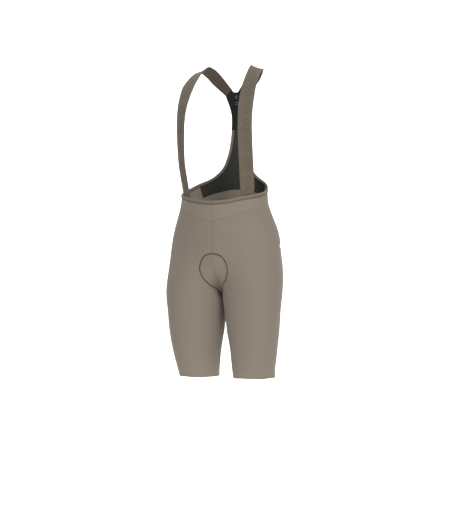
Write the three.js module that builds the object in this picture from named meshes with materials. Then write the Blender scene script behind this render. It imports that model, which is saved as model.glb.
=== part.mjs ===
import * as THREE from 'three';

// Cycling bib shorts in their hollow worn form, in millimetres.
// X is the wearer's left, -Y the front, and Z is up from the top of the shoulders.

// Driving sizes
const WALL = 1.6;
const SEAM_GAP = 0.3;
const ARMHOLE_GAP = 0.5;
const CROTCH_Z = -684;
const HEM_Z = -932;
const RISE_FRONT_Z = -564;
const RISE_BACK_Z = -540;
const TORSO_FROM_Z = -520;
const COLUMN_SHIFT = 13;
const FRONT_RISE_POWER = 1.5;
const BACK_RISE_POWER = 2.3;
const BINDING_WIDTH = 10;
const BINDING_TOP_Z = -184;
const MESH_SIDE_TOP_TURN = 125;
const MESH_CORNER_TURN = 131.4;
const MESH_SIDE_GAP_TURN = 0.2;
const STRAP_THICKNESS = 1.6;
const PAD_THICKNESS = 6;
const PAD_EDGE_THICKNESS = 1.5;
const PAD_CLEARANCE = 2.3;
const PAD_EDGE_CLEARANCE = 1.1;

const LEG_COLUMNS = 36;
const RIM_STEPS = 29;
const ARMHOLE_STEPS = 16;
const MESH_SIDE_STEPS = 3;
const MESH_SEAM_STEPS = 12;
const WAIST_ROWS = 5;
const BACK_COLUMNS = 16;
const UPPER_BACK_ROWS = 8;
const STRAP_STEPS = 42;
const STRAP_COLUMNS = 4;
const PAD_COLUMNS = 16;
const PAD_ROWS = 24;

// Level sections of the body part: front and back on the centre line, and the widest place at the side
const torsoSections = [
  { z: -40, side: 138, front: -70, widest: 0, back: 80 },
  { z: -61, side: 140, front: -80, widest: 0, back: 86 },
  { z: -90, side: 140, front: -90, widest: 0, back: 93 },
  { z: -140, side: 141, front: -100, widest: 0, back: 99 },
  { z: -200, side: 141, front: -106, widest: 0, back: 101 },
  { z: -280, side: 138, front: -106, widest: 1, back: 101 },
  { z: -340, side: 132.5, front: -104, widest: -1, back: 100 },
  { z: -390, side: 133.5, front: -102, widest: -5, back: 100 },
  { z: -417, side: 136.5, front: -102, widest: -5, back: 103 },
  { z: -450, side: 147, front: -101, widest: -1, back: 111 },
  { z: -486, side: 160, front: -100, widest: 4, back: 123 },
  { z: -522, side: 168.3, front: -99, widest: 4, back: 135 },
  { z: -558, side: 171.5, front: -99, widest: -2, back: 143 },
  { z: -594, side: 174.2, front: -99, widest: -2, back: 147 },
  { z: -630, side: 176.8, front: -98, widest: -2, back: 145 },
  { z: -684, side: 178.4, front: -97, widest: -3, back: 132 },
];

// Level sections of one leg: four quarter ellipses that meet at the inner, front, outer and back points
const legSections = [
  { z: -500, inner: 0.15, across: 88, outer: 162, front: -100, mid: 4, back: 132, lean: 0 },
  { z: -560, inner: 0.15, across: 89, outer: 172, front: -100, mid: 2, back: 146, lean: -0.02 },
  { z: -620, inner: 0.15, across: 90, outer: 177, front: -99, mid: 1, back: 143, lean: -0.06 },
  { z: -684, inner: 0.15, across: 90.5, outer: 178.8, front: -95, mid: 1, back: 118, lean: -0.12 },
  { z: -738, inner: 5.2, across: 90, outer: 174.2, front: -89, mid: 3, back: 98, lean: -0.14 },
  { z: -792, inner: 10.8, across: 90.3, outer: 169.8, front: -84, mid: 6, back: 89, lean: -0.14 },
  { z: -828, inner: 17.6, across: 90.9, outer: 165.3, front: -80, mid: 7, back: 85, lean: -0.12 },
  { z: -864, inner: 22.4, across: 90.9, outer: 160.8, front: -74, mid: 7, back: 80, lean: -0.07 },
  { z: -900, inner: 25, across: 89.7, outer: 154.5, front: -65, mid: 7, back: 75, lean: 0 },
  { z: -932, inner: 27, across: 88.5, outer: 150, front: -53, mid: 11, back: 74, lean: 0.07 },
];

// Seam between the waist panel and the legs, by degrees round from the centre front
const waistSeam = [
  { turn: 0, z: -468.2 },
  { turn: 15, z: -457.6 },
  { turn: 30, z: -446.8 },
  { turn: 45, z: -438.3 },
  { turn: 60, z: -431.4 },
  { turn: 78, z: -422.5 },
  { turn: 100, z: -415.5 },
  { turn: 140, z: -412 },
  { turn: 180, z: -414 },
];

// Top edge, along the front rim, round the side and up the armhole
const topEdge = [
  { turn: 0, z: -408 },
  { turn: 18, z: -405 },
  { turn: 37, z: -396.5 },
  { turn: 54, z: -390 },
  { turn: 72, z: -384 },
  { turn: 90, z: -376 },
  { turn: 107, z: -364 },
  { turn: 123, z: -350 },
  { turn: 139, z: -337 },
  { turn: 150, z: -323 },
  { turn: 160, z: -300 },
  { turn: 165, z: -275 },
  { turn: 168.3, z: -250 },
  { turn: 170.2, z: -226 },
  { turn: 171.6, z: -202 },
  { turn: 172.3, z: BINDING_TOP_Z },
];

// Seam between the back mesh and the waist panel
const meshSeam = [
  { turn: MESH_CORNER_TURN, z: -392 },
  { turn: 143, z: -383 },
  { turn: 152, z: -377 },
  { turn: 161, z: -372 },
  { turn: 170, z: -368 },
  { turn: 180, z: -366.5 },
];

// Half width of the upper back at its armhole edge, from the mesh to the strap seam
const upperBackEdge = [
  { halfWidth: 19, z: BINDING_TOP_Z },
  { halfWidth: 18, z: -152 },
  { halfWidth: 20, z: -128 },
  { halfWidth: 27, z: -103 },
  { halfWidth: 34, z: -81 },
];
const NECK_CORNER = { halfWidth: 12.5, z: -61 };
const NECK_LOW_Z = -70;

// Both edges of a strap, from inside the front rim, over the shoulder, to the upper back.
// bow is how far the middle of its width stands out from the line between its edges.
const strapEdges = [
  { neckX: 82, neckY: -76.4, neckZ: -412, armX: 114, armY: -50, armZ: -412, bow: 2.2 },
  { neckX: 81.5, neckY: -76.4, neckZ: -398, armX: 113.5, armY: -50.2, armZ: -398, bow: 2.2 },
  { neckX: 81.5, neckY: -77.4, neckZ: -384, armX: 113.5, armY: -50.8, armZ: -382, bow: 2.2 },
  { neckX: 83, neckY: -86.5, neckZ: -355, armX: 116.5, armY: -57.5, armZ: -354, bow: 2 },
  { neckX: 86, neckY: -102, neckZ: -295, armX: 119.5, armY: -73, armZ: -295, bow: 1.8 },
  { neckX: 85.5, neckY: -109, neckZ: -225, armX: 120, armY: -82.5, armZ: -226, bow: 1.6 },
  { neckX: 84.5, neckY: -107, neckZ: -171, armX: 120, armY: -84, armZ: -172, bow: 1.4 },
  { neckX: 81.5, neckY: -94, neckZ: -123, armX: 121, armY: -75, armZ: -124, bow: 1 },
  { neckX: 78, neckY: -61, neckZ: -73, armX: 119.5, armY: -50, armZ: -72, bow: 0.3 },
  { neckX: 75.5, neckY: -29, neckZ: -40, armX: 115.5, armY: -20, armZ: -43, bow: -0.4 },
  { neckX: 73, neckY: 4, neckZ: -13, armX: 111, armY: 16, armZ: -20, bow: -1.2 },
  { neckX: 69.5, neckY: 35, neckZ: 4.5, armX: 106, armY: 49, armZ: -9, bow: -1.8 },
  { neckX: 59.5, neckY: 56, neckZ: 0.5, armX: 91.5, armY: 73, armZ: -22, bow: -1 },
  { neckX: 48, neckY: 68.5, neckZ: -12, armX: 77.5, armY: 83, armZ: -40, bow: 0 },
  { neckX: 34, neckY: 78.5, neckZ: -31.5, armX: 58, armY: 88.5, armZ: -59, bow: 0 },
  { neckX: 12.8, neckY: 85.5, neckZ: -60.6, armX: 34.2, armY: 90, armZ: -80.6, bow: 0 },
];

// Section of the binding: distance in from the edge, and height over the cloth's outer face
const bindingSection = [
  { inward: 0, height: 0.2 },
  { inward: 5, height: 1 },
  { inward: BINDING_WIDTH, height: 0.6 },
  { inward: BINDING_WIDTH, height: -2.2 },
  { inward: 5, height: -2.6 },
  { inward: 0, height: -1.8 },
];

// Seat pad, from its front tip through the crotch to its back edge.
// along is the centre line's height, reach and fall are where the pad's outline lies on the leg panel.
const padSections = [
  { back: 0, along: -564, reach: 0.045, fall: -564.5 },
  { back: 0, along: -571, reach: 0.085, fall: -568.5 },
  { back: 0, along: -583, reach: 0.118, fall: -578 },
  { back: 0, along: -598, reach: 0.141, fall: -593 },
  { back: 0, along: -614, reach: 0.15, fall: -610 },
  { back: 0, along: -630, reach: 0.145, fall: -627 },
  { back: 0, along: -645, reach: 0.125, fall: -645 },
  { back: 0, along: -659, reach: 0.093, fall: -660 },
  { back: 0, along: -670, reach: 0.058, fall: -671 },
  { back: 0, along: -679, reach: 0.03, fall: -682 },
  { back: 1, along: -679, reach: 0.03, fall: -690 },
  { back: 1, along: -672, reach: 0.07, fall: -688 },
  { back: 1, along: -662, reach: 0.11, fall: -677 },
  { back: 1, along: -649, reach: 0.145, fall: -661 },
  { back: 1, along: -633, reach: 0.165, fall: -641 },
  { back: 1, along: -616, reach: 0.17, fall: -620 },
  { back: 1, along: -599, reach: 0.162, fall: -600 },
  { back: 1, along: -583, reach: 0.138, fall: -582 },
  { back: 1, along: -571, reach: 0.095, fall: -570 },
  { back: 1, along: -565, reach: 0.045, fall: -565.5 },
];

// Smooth steps and tables

const clamp = (value, low, high) => Math.min(Math.max(value, low), high);
const mix = (a, b, share) => a + (b - a) * share;
const smooth = (share) => share * share * (3 - 2 * share);
const radians = (degrees) => degrees * Math.PI / 180;

function rowSlope(rows, index, by, key) {
  const before = rows[Math.max(index - 1, 0)];
  const after = rows[Math.min(index + 1, rows.length - 1)];
  return (after[key] - before[key]) / (after[by] - before[by]);
}

// A smooth curve through one column of a table whose rows run in order of another column
function lookUp(rows, by, value, key) {
  const rising = rows[rows.length - 1][by] > rows[0][by];
  let index = 0;
  while (index < rows.length - 2 && (rising ? value > rows[index + 1][by] : value < rows[index + 1][by])) {
    index += 1;
  }
  const low = rows[index];
  const high = rows[index + 1];
  const span = high[by] - low[by];
  const share = clamp((value - low[by]) / span, 0, 1);
  const square = share * share;
  const cube = square * share;
  const lowSlope = rowSlope(rows, index, by, key) * span;
  const highSlope = rowSlope(rows, index + 1, by, key) * span;
  return (2 * cube - 3 * square + 1) * low[key] + (cube - 2 * square + share) * lowSlope
    + (3 * square - 2 * cube) * high[key] + (cube - square) * highSlope;
}

function sectionAt(rows, z) {
  const section = {};
  for (const key of Object.keys(rows[0])) {
    section[key] = key === 'z' ? z : lookUp(rows, 'z', z, key);
  }
  if ('inner' in section) {
    section.inner = z < CROTCH_Z ? Math.max(section.inner, SEAM_GAP / 2) : SEAM_GAP / 2;
  }
  return section;
}

// A smooth curve through all columns of a table, by a share of its rows from 0 to 1
function along(rows, share) {
  const numbered = rows.map((row, index) => ({ ...row, index }));
  const place = share * (rows.length - 1);
  const found = {};
  for (const key of Object.keys(rows[0])) {
    found[key] = lookUp(numbered, 'index', place, key);
  }
  return found;
}

// The garment's outer surface on the wearer's left

function torsoPoint(turn, z) {
  const section = sectionAt(torsoSections, z);
  const angle = radians(turn);
  const depth = turn < 90 ? section.widest - section.front : section.back - section.widest;
  return new THREE.Vector3(section.side * Math.sin(angle), section.widest - depth * Math.cos(angle), z);
}

// How far the centre seam has come out from the crotch to the front or back, from 0 to 1
function riseShare(z, topZ, power) {
  const share = clamp((z - CROTCH_Z) / (topZ - CROTCH_Z), 0, 1);
  return (1 - (1 - share) ** power) ** (1 / power);
}

// One inner quarter of the leg section, bridged across the centre line above the crotch
function innerQuarter(section, quarter, depth, rise) {
  const halfWidth = section.across - section.inner;
  const x = section.across - halfWidth * Math.cos(quarter);
  const bridge = section.across - halfWidth * Math.sqrt(1 - rise * rise);
  const held = bridge * (1 - x / section.across);
  const shifted = rise > 0 ? Math.hypot(x, held) : x;
  const inShare = clamp((section.across - shifted) / halfWidth, 0, 1);
  return { x, y: section.mid + depth * Math.sqrt(1 - inShare * inShare) };
}

function legPoint(t, z) {
  const section = sectionAt(legSections, z);
  const angle = 2 * Math.PI * t;
  const frontDepth = section.front - section.mid;
  const backDepth = section.back - section.mid;
  const halfGap = SEAM_GAP / 2;
  let x = section.across - (section.outer - section.across) * Math.cos(angle);
  let y = section.mid + (t < 0.5 ? frontDepth : backDepth) * Math.abs(Math.sin(angle));
  let leanShare = 1;
  if (t < 0.25) {
    const place = innerQuarter(section, angle, frontDepth, riseShare(z, RISE_FRONT_Z, FRONT_RISE_POWER));
    x = place.x;
    y = Math.min(place.y, section.mid - halfGap);
  } else if (t > 0.75) {
    const place = innerQuarter(section, 2 * Math.PI - angle, backDepth, riseShare(z, RISE_BACK_Z, BACK_RISE_POWER));
    x = place.x;
    y = Math.max(place.y, section.mid + halfGap);
  }
  if (x < section.across) {
    leanShare = (x - section.inner) / (section.across - section.inner);
  }
  return new THREE.Vector3(x + section.lean * (y - section.mid) * leanShare, y, z);
}

// Degrees round the torso of a column of the leg panel, closer together over the thigh's outer side
function turnOf(t) {
  return 180 * t - COLUMN_SHIFT * Math.sin(2 * Math.PI * t);
}

// t runs from the centre front or inseam at 0, round the outside at 0.5, to the centre back or inseam at 1
function bodyPoint(t, z) {
  const torsoShare = smooth(clamp((z - CROTCH_Z) / (TORSO_FROM_Z - CROTCH_Z), 0, 1));
  if (torsoShare === 0) {
    return legPoint(t, z);
  }
  const torso = torsoPoint(turnOf(t), z);
  torso.x = Math.max(torso.x, SEAM_GAP / 2);
  return torsoShare === 1 ? torso : legPoint(t, z).lerp(torso, torsoShare);
}

const STEP_T = 0.002;
const STEP_Z = 0.5;

function bodyNormal(t, z) {
  const before = Math.max(t - STEP_T, 0);
  const after = Math.min(t + STEP_T, 1);
  const round = bodyPoint(after, z).sub(bodyPoint(before, z));
  const up = bodyPoint(t, z + STEP_Z).sub(bodyPoint(t, z - STEP_Z));
  const normal = round.cross(up).normalize();
  if ((t === 0 || t === 1) && z > CROTCH_Z) {
    normal.setX(0).normalize();
  }
  return normal;
}

function bodyPlace(t, z, inward) {
  return bodyPoint(t, z).addScaledVector(bodyNormal(t, z), -inward);
}

function torsoNormal(turn, z) {
  const round = torsoPoint(turn + STEP_Z, z).sub(torsoPoint(turn - STEP_Z, z));
  const up = torsoPoint(turn, z + STEP_Z).sub(torsoPoint(turn, z - STEP_Z));
  return round.cross(up).normalize();
}

function torsoPlace(turn, z, inward) {
  return torsoPoint(turn, z).addScaledVector(torsoNormal(turn, z), -inward);
}

// A place on the torso at a distance in from the top edge, square to it
function insetFromEdge(share, distance) {
  const step = 0.004;
  const here = along(topEdge, share);
  const before = along(topEdge, Math.max(share - step, 0));
  const after = along(topEdge, Math.min(share + step, 1));
  const run = torsoPoint(after.turn, after.z).sub(torsoPoint(before.turn, before.z)).normalize();
  if (share === 0) {
    run.set(1, 0, 0);
  }
  const inward = run.cross(torsoNormal(here.turn, here.z)).negate().multiplyScalar(-distance);
  const perTurn = torsoPoint(here.turn + 0.5, here.z).sub(torsoPoint(here.turn - 0.5, here.z));
  const perZ = torsoPoint(here.turn, here.z + 0.5).sub(torsoPoint(here.turn, here.z - 0.5));
  const aa = perTurn.dot(perTurn);
  const ab = perTurn.dot(perZ);
  const bb = perZ.dot(perZ);
  const ra = perTurn.dot(inward);
  const rb = perZ.dot(inward);
  const scale = aa * bb - ab * ab;
  return { turn: here.turn + (ra * bb - rb * ab) / scale, z: here.z + (rb * aa - ra * ab) / scale };
}

// The rings that the binding shares with the waist panel's top edge and the mesh's armhole edge
const rimEndShare = (() => {
  let low = 0;
  let high = 1;
  for (let i = 0; i < 30; i += 1) {
    const middle = (low + high) / 2;
    if (insetFromEdge(middle, BINDING_WIDTH + SEAM_GAP).turn < MESH_SIDE_TOP_TURN) {
      low = middle;
    } else {
      high = middle;
    }
  }
  return low;
})();
const rimShares = Array.from({ length: RIM_STEPS + 1 }, (_, i) => rimEndShare * i / RIM_STEPS);
const armholeShares = Array.from({ length: ARMHOLE_STEPS + 1 }, (_, i) => mix(rimEndShare, 1, i / ARMHOLE_STEPS));

// Closed solids

function solidMesh(name, positions, triangles, look) {
  const geometry = new THREE.BufferGeometry();
  geometry.setAttribute('position', new THREE.Float32BufferAttribute(positions.flatMap((p) => p.toArray()), 3));
  geometry.setIndex(triangles);
  geometry.computeVertexNormals();
  const mesh = new THREE.Mesh(geometry, new THREE.MeshStandardMaterial(look));
  mesh.name = name;
  return mesh;
}

// A wall between two grids of points, rows running down and columns running to the wearer's left
function wallMesh(name, outer, inner, look) {
  const rows = outer.length;
  const columns = outer[0].length;
  const positions = [...outer.flat(), ...inner.flat()];
  const half = rows * columns;
  const triangles = [];
  const quad = (a, b, c, d) => triangles.push(a, b, c, a, c, d);
  const at = (row, column, side) => side * half + row * columns + column;
  for (let row = 0; row < rows - 1; row += 1) {
    for (let column = 0; column < columns - 1; column += 1) {
      quad(at(row, column, 0), at(row + 1, column, 0), at(row + 1, column + 1, 0), at(row, column + 1, 0));
      quad(at(row, column, 1), at(row, column + 1, 1), at(row + 1, column + 1, 1), at(row + 1, column, 1));
    }
    quad(at(row, 0, 0), at(row, 0, 1), at(row + 1, 0, 1), at(row + 1, 0, 0));
    const last = columns - 1;
    quad(at(row, last, 0), at(row + 1, last, 0), at(row + 1, last, 1), at(row, last, 1));
  }
  for (let column = 0; column < columns - 1; column += 1) {
    quad(at(0, column, 0), at(0, column + 1, 0), at(0, column + 1, 1), at(0, column, 1));
    const last = rows - 1;
    quad(at(last, column, 0), at(last, column, 1), at(last, column + 1, 1), at(last, column + 1, 0));
  }
  return solidMesh(name, positions, triangles, look);
}

// A tape with the same section all along, its rings running round the section
function tapeMesh(name, rings, look) {
  const count = rings[0].length;
  const triangles = [];
  for (let ring = 0; ring < rings.length - 1; ring += 1) {
    for (let corner = 0; corner < count; corner += 1) {
      const next = (corner + 1) % count;
      const a = ring * count + corner;
      const b = ring * count + next;
      triangles.push(a, b + count, a + count, a, b, b + count);
    }
  }
  const end = (rings.length - 1) * count;
  for (let corner = 1; corner < count - 1; corner += 1) {
    triangles.push(0, corner + 1, corner);
    triangles.push(end, end + corner, end + corner + 1);
  }
  return solidMesh(name, rings.flat(), triangles, look);
}

const mirrored = (point) => new THREE.Vector3(-point.x, point.y, point.z);
const mirroredGrid = (grid) => grid.map((row) => row.map(mirrored).reverse());

const looks = {
  shorts: { color: 0x85796c, roughness: 0.75, metalness: 0 },
  waist: { color: 0x8a7e71, roughness: 0.7, metalness: 0 },
  mesh: { color: 0x31312f, roughness: 0.85, metalness: 0 },
  black: { color: 0x232321, roughness: 0.8, metalness: 0 },
  strap: { color: 0x6d6458, roughness: 0.8, metalness: 0 },
  binding: { color: 0x72695a, roughness: 0.7, metalness: 0 },
  pad: { color: 0x3b3a38, roughness: 0.95, metalness: 0 },
};

// Leg panels

const legHeights = [
  -520, -545, -568, -592, -613, -633, -649, -662, -672, -679, -683, CROTCH_Z,
  -687, -692, -702, -718, -740, -768, -800, -834, -868, -900, HEM_Z,
];
const LEG_TOP_ROWS = 3;

function legGrid(inward) {
  const columns = Array.from({ length: LEG_COLUMNS + 1 }, (_, i) => i / LEG_COLUMNS);
  const topZ = (t) => lookUp(waistSeam, 'turn', turnOf(t), 'z') - SEAM_GAP / 2;
  const topRows = Array.from({ length: LEG_TOP_ROWS }, (_, i) => i / LEG_TOP_ROWS);
  const upper = topRows.map((share) => columns.map((t) => bodyPlace(t, mix(topZ(t), legHeights[0], share), inward)));
  const lower = legHeights.map((z) => columns.map((t) => bodyPlace(t, z, inward)));
  return [...upper, ...lower];
}

function legPanels() {
  const outer = legGrid(0);
  const inner = legGrid(WALL);
  return [
    wallMesh('leg_left', outer, inner, looks.shorts),
    wallMesh('leg_right', mirroredGrid(outer), mirroredGrid(inner), looks.shorts),
  ];
}

// Waist panels

function waistTop() {
  const rim = rimShares.map((share) => insetFromEdge(share, BINDING_WIDTH + SEAM_GAP));
  const corner = rim[RIM_STEPS];
  const foot = { turn: MESH_CORNER_TURN - MESH_SIDE_GAP_TURN / 2, z: meshSeam[0].z };
  const side = Array.from({ length: MESH_SIDE_STEPS }, (_, i) => ({
    turn: mix(corner.turn, foot.turn, (i + 1) / MESH_SIDE_STEPS),
    z: mix(corner.z, foot.z, (i + 1) / MESH_SIDE_STEPS),
  }));
  const seam = Array.from({ length: MESH_SEAM_STEPS }, (_, i) => {
    const turn = mix(MESH_CORNER_TURN, 180, (i + 1) / MESH_SEAM_STEPS);
    return { turn, z: lookUp(meshSeam, 'turn', turn, 'z') - SEAM_GAP / 2 };
  });
  return [...rim, ...side, ...seam];
}

function waistGrid(inward) {
  const top = waistTop();
  const halfGap = SEAM_GAP / 2;
  return Array.from({ length: WAIST_ROWS + 1 }, (_, row) => top.map((place) => {
    const lowZ = lookUp(waistSeam, 'turn', place.turn, 'z') + halfGap;
    const point = torsoPlace(clamp(place.turn, 0, 180), mix(place.z, lowZ, row / WAIST_ROWS), inward);
    point.x = Math.max(point.x, halfGap);
    return point;
  }));
}

function waistPanels() {
  const outer = waistGrid(0);
  const inner = waistGrid(WALL);
  return [
    wallMesh('waist_left', outer, inner, looks.waist),
    wallMesh('waist_right', mirroredGrid(outer), mirroredGrid(inner), looks.waist),
  ];
}

// Back mesh, between the armhole bindings

function meshEdges() {
  const foot = { turn: MESH_CORNER_TURN + MESH_SIDE_GAP_TURN / 2, z: meshSeam[0].z + SEAM_GAP / 2 };
  const [, ...upper] = armholeShares.map((share) => insetFromEdge(share, BINDING_WIDTH + ARMHOLE_GAP));
  const start = insetFromEdge(armholeShares[0], BINDING_WIDTH + ARMHOLE_GAP);
  start.turn += MESH_SIDE_GAP_TURN;
  const side = Array.from({ length: MESH_SIDE_STEPS + 1 }, (_, i) => ({
    turn: mix(foot.turn, start.turn, i / MESH_SIDE_STEPS),
    z: mix(foot.z, start.z, i / MESH_SIDE_STEPS),
  }));
  return [...side, ...upper].reverse();
}

function meshGrid(inward) {
  const lowCentre = lookUp(meshSeam, 'turn', 180, 'z') + SEAM_GAP / 2;
  const topZ = BINDING_TOP_Z - SEAM_GAP;
  const edges = meshEdges();
  const last = edges.length - 1;
  return edges.map((edge, row) => {
    const share = clamp((edge.z - edges[last].z) / (topZ - edges[last].z), 0, 1);
    const centreZ = mix(lowCentre, topZ, share ** 1.5);
    return Array.from({ length: BACK_COLUMNS + 1 }, (_, i) => {
      const place = 2 * i / BACK_COLUMNS - 1;
      const turn = 180 - (180 - edge.turn) * Math.abs(place);
      const seamZ = lookUp(meshSeam, 'turn', Math.max(turn, MESH_CORNER_TURN), 'z') + SEAM_GAP / 2;
      const bowed = mix(centreZ, Math.min(edge.z, topZ), place * place);
      const z = row === 0 ? topZ : Math.min(bowed, topZ);
      const point = torsoPlace(turn, row === last ? seamZ : z, inward);
      return place < 0 ? point : mirrored(point);
    });
  });
}

// Upper back, up to the neckline and the strap seams

function upperBackTopZ(x) {
  const corner = upperBackEdge[upperBackEdge.length - 1];
  if (x < NECK_CORNER.halfWidth) {
    return mix(NECK_LOW_Z, NECK_CORNER.z, (x / NECK_CORNER.halfWidth) ** 4);
  }
  return mix(NECK_CORNER.z, corner.z, (x - NECK_CORNER.halfWidth) / (corner.halfWidth - NECK_CORNER.halfWidth));
}

function upperBackGrid(inward) {
  const corner = upperBackEdge[upperBackEdge.length - 1];
  const shares = Array.from({ length: UPPER_BACK_ROWS + 1 }, (_, i) => 1 - i / UPPER_BACK_ROWS);
  return shares.map((share) => {
    const edge = along(upperBackEdge, share);
    return Array.from({ length: BACK_COLUMNS + 1 }, (_, i) => {
      const place = Math.abs(2 * i / BACK_COLUMNS - 1);
      const rise = upperBackTopZ(place * corner.halfWidth) - corner.z;
      const z = edge.z + rise * share * share;
      const section = sectionAt(torsoSections, z);
      const turn = 180 - Math.asin(place * edge.halfWidth / section.side) * 180 / Math.PI;
      const point = torsoPlace(turn, z, inward);
      return i < BACK_COLUMNS / 2 ? point : mirrored(point);
    });
  });
}

function backPanels() {
  return [
    wallMesh('back_lower', meshGrid(0), meshGrid(WALL), looks.mesh),
    wallMesh('back_upper', upperBackGrid(0), upperBackGrid(WALL), looks.black),
  ];
}

// Straps

function strapStation(share) {
  const at = (place) => {
    const edges = along(strapEdges, clamp(place, 0, 1));
    return {
      neck: new THREE.Vector3(edges.neckX, edges.neckY, edges.neckZ),
      arm: new THREE.Vector3(edges.armX, edges.armY, edges.armZ),
      bow: edges.bow,
    };
  };
  const here = at(share);
  const before = at(share - 0.005);
  const after = at(share + 0.005);
  const run = after.neck.clone().add(after.arm).sub(before.neck).sub(before.arm);
  const width = here.arm.clone().sub(here.neck);
  return { ...here, outward: width.cross(run).normalize() };
}

function strapGrid(lift) {
  return Array.from({ length: STRAP_STEPS + 1 }, (_, i) => {
    const station = strapStation(1 - i / STRAP_STEPS);
    return Array.from({ length: STRAP_COLUMNS + 1 }, (_, j) => {
      const across = j / STRAP_COLUMNS;
      const stand = 4 * across * (1 - across) * station.bow;
      return station.neck.clone().lerp(station.arm, across).addScaledVector(station.outward, stand + lift);
    });
  });
}

function straps() {
  const outer = strapGrid(STRAP_THICKNESS / 2);
  const inner = strapGrid(-STRAP_THICKNESS / 2);
  return [
    wallMesh('strap_left', outer, inner, looks.strap),
    wallMesh('strap_right', mirroredGrid(outer), mirroredGrid(inner), looks.strap),
  ];
}

// Top binding, in one length from one armhole round the front to the other

function bindingRing(signedShare) {
  const share = Math.abs(signedShare);
  return bindingSection.map((corner) => {
    const place = insetFromEdge(share, corner.inward);
    const point = torsoPlace(place.turn, place.z, -corner.height);
    if (share === 0) {
      point.x = 0;
    }
    return signedShare < 0 ? mirrored(point) : point;
  });
}

function topBinding() {
  const shares = [...rimShares.slice(1), ...armholeShares.slice(1)];
  const signed = [...shares.map((share) => -share).reverse(), 0, ...shares];
  const rings = signed.map(bindingRing);
  return tapeMesh('top_binding', rings, looks.binding);
}

// Seat pad, inside the crotch seam

function padPoint(section, across, inward) {
  const share = Math.abs(across);
  const t = section.back ? 1 - section.reach * share : section.reach * share;
  const point = bodyPlace(t, mix(section.along, section.fall, share), inward);
  if (across === 0) {
    point.x = 0;
  }
  return across < 0 ? mirrored(point) : point;
}

function seatPad() {
  const places = Array.from({ length: PAD_COLUMNS + 1 }, (_, i) => {
    const place = 2 * i / PAD_COLUMNS - 1;
    return Math.sign(place) * Math.abs(place) ** 1.5;
  });
  const clothSide = (across) => WALL + mix(PAD_CLEARANCE, PAD_EDGE_CLEARANCE, across ** 4);
  const half = padSections.length / 2;
  const frontRows = padSections.slice(0, half);
  const backRows = padSections.slice(half);
  const rows = Array.from({ length: PAD_ROWS }, (_, i) => {
    const place = i / (PAD_ROWS / 2 - 1);
    return place <= 1 ? along(frontRows, place) : along(backRows, (i - PAD_ROWS / 2) / (PAD_ROWS / 2 - 1));
  });
  const wearerSide = (across, row) => {
    const ends = Math.min(row, PAD_ROWS - 1 - row) / 5;
    const edge = Math.min(1 - across ** 4, clamp(ends, 0, 1));
    return clothSide(across) + mix(PAD_EDGE_THICKNESS, PAD_THICKNESS, edge);
  };
  const cloth = rows.map((section) => places.map((across) => padPoint(section, across, clothSide(across))));
  const wearer = rows.map((section, row) => {
    return places.map((across) => padPoint(section, across, wearerSide(across, row)));
  });
  return wallMesh('seat_pad', cloth, wearer, looks.pad);
}

const bibShorts = new THREE.Group();
bibShorts.name = 'bib_shorts';
bibShorts.add(...legPanels(), ...waistPanels(), ...backPanels(), ...straps(), topBinding(), seatPad());

export default bibShorts;
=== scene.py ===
import math

import bpy
import numpy as np
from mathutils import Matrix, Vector


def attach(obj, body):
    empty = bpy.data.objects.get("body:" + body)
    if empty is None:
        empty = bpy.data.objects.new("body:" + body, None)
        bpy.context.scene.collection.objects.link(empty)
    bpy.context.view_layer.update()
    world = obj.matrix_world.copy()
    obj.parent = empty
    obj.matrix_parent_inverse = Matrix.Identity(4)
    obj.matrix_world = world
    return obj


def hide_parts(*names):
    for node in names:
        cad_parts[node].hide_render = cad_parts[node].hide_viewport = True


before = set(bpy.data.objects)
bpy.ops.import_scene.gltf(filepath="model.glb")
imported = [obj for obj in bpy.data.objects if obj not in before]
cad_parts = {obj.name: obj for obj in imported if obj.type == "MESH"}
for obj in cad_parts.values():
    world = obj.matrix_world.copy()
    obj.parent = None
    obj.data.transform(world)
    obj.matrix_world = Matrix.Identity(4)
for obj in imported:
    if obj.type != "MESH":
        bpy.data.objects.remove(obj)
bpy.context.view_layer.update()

# Cycling bib shorts in their hollow worn form.
# Shapes are worked out in millimetres, as in the part's source, and turned to metres in each mesh.
# X is the wearer's left, -Y the front, and Z is up from the top of the shoulders.

MM = 0.001
WALL = 1.3
MESH_WALL = 1.0
# The next two set the width and strength of the painted shade along the sunk seams.
SEAM_SHADE_WIDTH = 1.2
SEAM_SHADE_STRENGTH = 0.2
SEAM_DEPTH = 0.55
SEAM_REACH = 1.1
SEAM_GAP = 0.3
SEAM_LAP = 0.7
HALF_GAP = 0.02
EDGE_BAND = 4.5
CROTCH_Z = -684
HEM_Z = -932
HEM_WAVE = 0.5
HEM_WAVE_REACH = 30
HEM_BAND = 3.5
UPPER_ROWS_FROM_Z = -486
RISE_FRONT_Z = -564
RISE_BACK_Z = -540
TORSO_FROM_Z = -520
COLUMN_SHIFT = 13
THIGH_GIRTH = 560
WAIST_PACE = 2.2
FRONT_RISE_POWER = 1.5
BACK_RISE_POWER = 2.3
PANEL_INSET = 6.5
BINDING_WIDTH = 9.2
BINDING_OUT = 1.9
BINDING_IN = 3.1
BINDING_TOP_Z = -184
BINDING_FOLD = 162
BINDING_POWER = 0.82
# The next two set the reach and softness of the painted shadow just below the binding.
BINDING_SHADE = 3.4
BINDING_SHADE_SOFT = 1.6
TAPE = 0.7
OUTLINE_NOTCH = 1.8
OUTLINE_DEPTH = 0.8
OUTLINE_REACH = 2.4
SELVEDGE_FROM = 0.0188
SELVEDGE_IN = 1.4
SELVEDGE_RISE = 0.3
SELVEDGE_WIDTH = 0.9
MOTIF_REPEAT = 0.056
MOTIF_HALF = 0.0105
MOTIF_LINE = 0.002
MOTIF_OFFSET = 0.003
MESH_SIDE_TOP_TURN = 125
MESH_CORNER_TURN = 131.4
STRAP_WIDTH = 42
STRAP_THICKNESS = 1.5
PAD_CLEARANCE = 2.3
PAD_EDGE_CLEARANCE = 1.1
PAD_THICKNESS = 6
PAD_EDGE_THICKNESS = 1.5
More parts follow.
